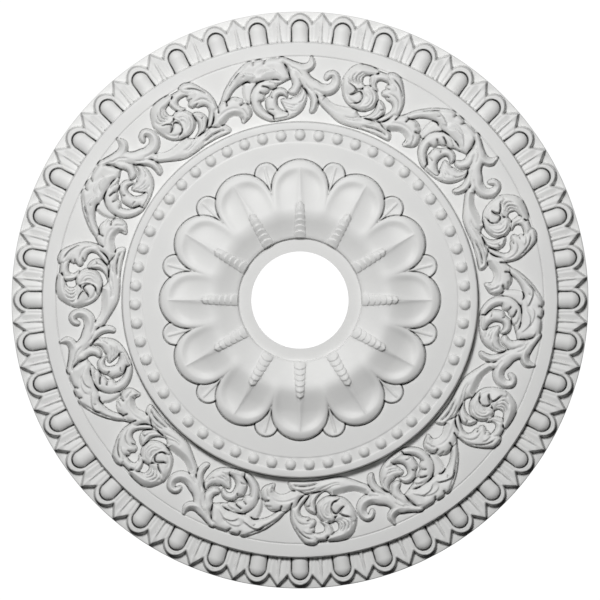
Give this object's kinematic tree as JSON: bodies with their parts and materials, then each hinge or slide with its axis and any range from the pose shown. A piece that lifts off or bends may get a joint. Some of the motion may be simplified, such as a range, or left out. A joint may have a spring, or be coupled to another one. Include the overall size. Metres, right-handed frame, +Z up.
{
  "type": "ceiling rose",
  "caption": "Round moulded ceiling rose with a petalled centre round a through-hole, a beaded ring, a frieze of scrolling leaves and an egg-and-dart rim.",
  "frame": {"origin": "on the axis of the central hole, in the plane of the flat back, which is the ceiling's plane", "axes": "+Z up into the ceiling, out of the flat back; the carved face looks down along -Z. Seen from below with +X to the right, -Y is at the top"},
  "size_m": [0.6, 0.6, 0.05],
  "materials": {
    "primed_white": "factory-primed white, matt"
  },
  "bodies": {
    "root": {"ceiling_rose": "primed_white"}
  },
  "joints": []
}
